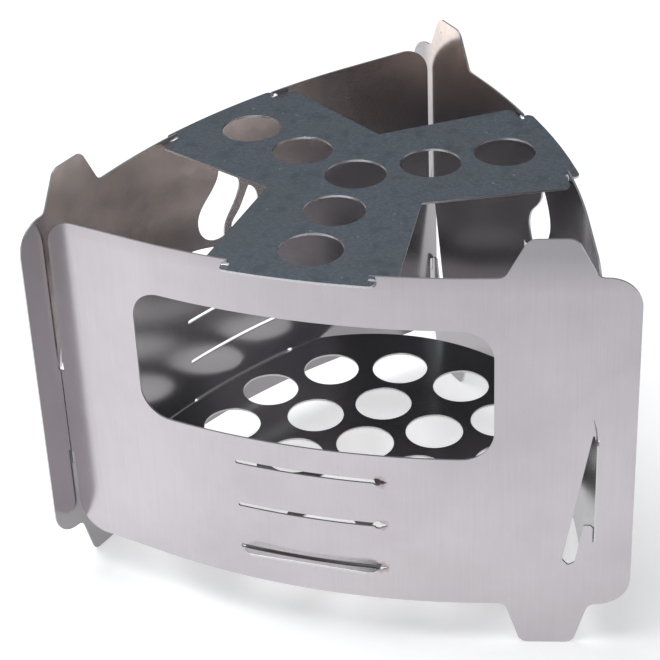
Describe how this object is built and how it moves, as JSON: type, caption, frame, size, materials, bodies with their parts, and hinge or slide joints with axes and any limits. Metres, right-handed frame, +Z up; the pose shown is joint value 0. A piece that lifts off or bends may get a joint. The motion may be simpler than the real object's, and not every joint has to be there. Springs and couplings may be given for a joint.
{
  "type": "alcohol spirit stove",
  "caption": "Flat-pack triangular stand for a spirit burner: bowed steel side panels hooked at the corners, a perforated burner shelf and a drop-in pot support.",
  "frame": {"origin": "centre of the stove's bounding box in plan, at the level the feet stand on", "axes": "+Z up; -Y is out through the front panel with the window; +X is to the right seen from the front"},
  "size_m": [0.152, 0.1424, 0.1183],
  "materials": {
    "panel_steel": "satin rolled stainless sheet, faint vertical brushing, bright cut edges",
    "shelf_steel": "smooth rolled stainless sheet, soft reflections",
    "support_steel": "heat-toned dark blue-grey stainless sheet with fine speckle"
  },
  "bodies": {
    "stove_body": {"front_panel": "panel_steel", "left_panel": "panel_steel", "right_panel": "panel_steel", "base_plate": "shelf_steel"},
    "pot_support": {"pot_support": "support_steel"}
  },
  "joints": [
    {"name": "pot_support_lift", "type": "slide", "parent": "stove_body", "child": "pot_support", "axis": [0, 0, 1], "range_m": [0, 0.03]}
  ]
}
